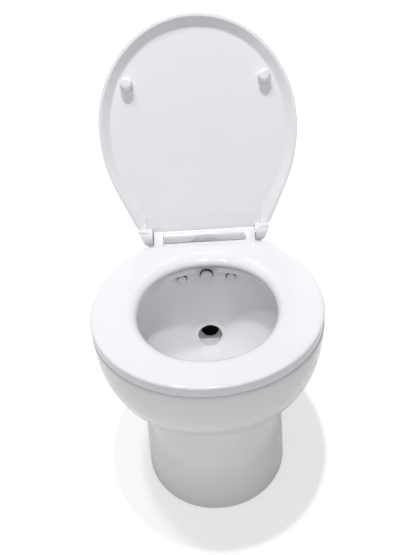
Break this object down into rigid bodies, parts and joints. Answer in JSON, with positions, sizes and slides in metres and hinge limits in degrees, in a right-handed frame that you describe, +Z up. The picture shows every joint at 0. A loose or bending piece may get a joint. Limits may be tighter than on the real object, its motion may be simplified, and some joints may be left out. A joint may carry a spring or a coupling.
{
  "type": "electric marine toilet",
  "caption": "Compact electric marine toilet: china bowl on a pedestal, hinged seat and lid, spray nozzles, solenoid water valve and macerator pump.",
  "frame": {"origin": "on the floor under the middle of the whole toilet's box, lid open", "axes": "+Z up, the bowl's front faces -Y, +X to the right of someone who looks along +Y"},
  "size_m": [0.363, 0.5198, 0.7127],
  "materials": {
    "china": "glossy white vitreous china",
    "seat_plastic": "glossy white moulded thermoset",
    "hinge_plastic": "satin white moulded plastic",
    "soft_plastic": "soft translucent white",
    "nozzle_plastic": "light grey moulded plastic",
    "dark_plastic": "matte black moulded plastic",
    "grey_plastic": "matte grey moulded plastic",
    "pipe_plastic": "matte off-white moulded plastic",
    "black_rubber": "matte black rubber",
    "steel": "stainless steel, satin",
    "motor_paint": "satin dark grey paint",
    "alloy": "cast, satin",
    "ferrite": "dark grey sintered magnet",
    "windings": "copper windings and laminated core"
  },
  "bodies": {
    "toilet": {"ceramic_bowl": "china", "hinge_bar": "hinge_plastic", "button_spring": "steel", "hinge_pin_left": "steel", "hinge_pin_right": "steel", "hinge_stud_left": "steel", "hinge_stud_right": "steel", "wing_nut_left": "pipe_plastic", "wing_nut_right": "pipe_plastic", "water_manifold": "pipe_plastic", "spreader_nozzle": "nozzle_plastic", "side_jet_left": "nozzle_plastic", "side_jet_right": "nozzle_plastic", "valve_body": "pipe_plastic", "valve_guide_tube": "steel", "valve_diaphragm": "black_rubber", "plunger_spring": "steel", "valve_coil": "dark_plastic", "flush_hose": "pipe_plastic", "hose_clamp_lower": "steel", "hose_clamp_upper": "steel", "pump_inlet_gasket": "black_rubber", "macerator_housing": "dark_plastic", "macerator_cover": "dark_plastic", "cover_ring": "dark_plastic", "cover_seal": "black_rubber", "joker_valve": "black_rubber", "discharge_spout": "dark_plastic", "cutter_grid": "steel", "shaft_seal": "black_rubber", "motor_flange": "alloy", "motor_bearing": "steel", "motor_can": "motor_paint", "motor_end_bell": "motor_paint", "motor_magnet": "ferrite", "cable_gland": "dark_plastic", "pump_mount_pad": "black_rubber", "base_plate": "steel", "floor_bracket_left": "pipe_plastic", "floor_bracket_right": "pipe_plastic", "fixing_screw_left": "steel", "fixing_screw_right": "steel", "screw_cap_left": "hinge_plastic", "screw_cap_right": "hinge_plastic"},
    "seat": {"seat": "seat_plastic", "seat_buffer_rear_left": "soft_plastic", "seat_buffer_front_left": "soft_plastic", "seat_buffer_rear_right": "soft_plastic", "seat_buffer_front_right": "soft_plastic"},
    "lid": {"lid": "seat_plastic", "lid_buffer_left": "soft_plastic", "lid_buffer_right": "soft_plastic", "soft_close_damper_left": "grey_plastic", "soft_close_damper_right": "grey_plastic"},
    "button": {"release_button": "hinge_plastic"},
    "rotor": {"pump_shaft": "steel", "impeller": "grey_plastic", "cutter_blade": "steel", "motor_armature": "windings"},
    "plunger": {"valve_plunger": "steel"}
  },
  "joints": [
    {"name": "lid_hinge", "type": "hinge", "parent": "toilet", "child": "lid", "pos_m": [0, 0.12367, 0.349], "axis": [-1, 0, 0], "range_deg": [-109.8, 0]},
    {"name": "seat_hinge", "type": "hinge", "parent": "toilet", "child": "seat", "pos_m": [0, 0.12367, 0.349], "axis": [-1, 0, 0], "range_deg": [0, 109]},
    {"name": "release_button_press", "type": "slide", "parent": "toilet", "child": "button", "axis": [0, 0, 1], "range_m": [0, 0.0025], "stiffness_N_per_m": 400, "springref_m": -0.002, "deforming": ["button_spring"]},
    {"name": "pump_rotor", "type": "hinge", "parent": "toilet", "child": "rotor", "pos_m": [0, 0.08667, 0.06], "axis": [1, 0, 0], "continuous": true},
    {"name": "valve_plunger_slide", "type": "slide", "parent": "toilet", "child": "plunger", "axis": [0, 0, -1], "range_m": [0, 0.003], "stiffness_N_per_m": 300, "springref_m": -0.003, "deforming": ["plunger_spring"]}
  ]
}
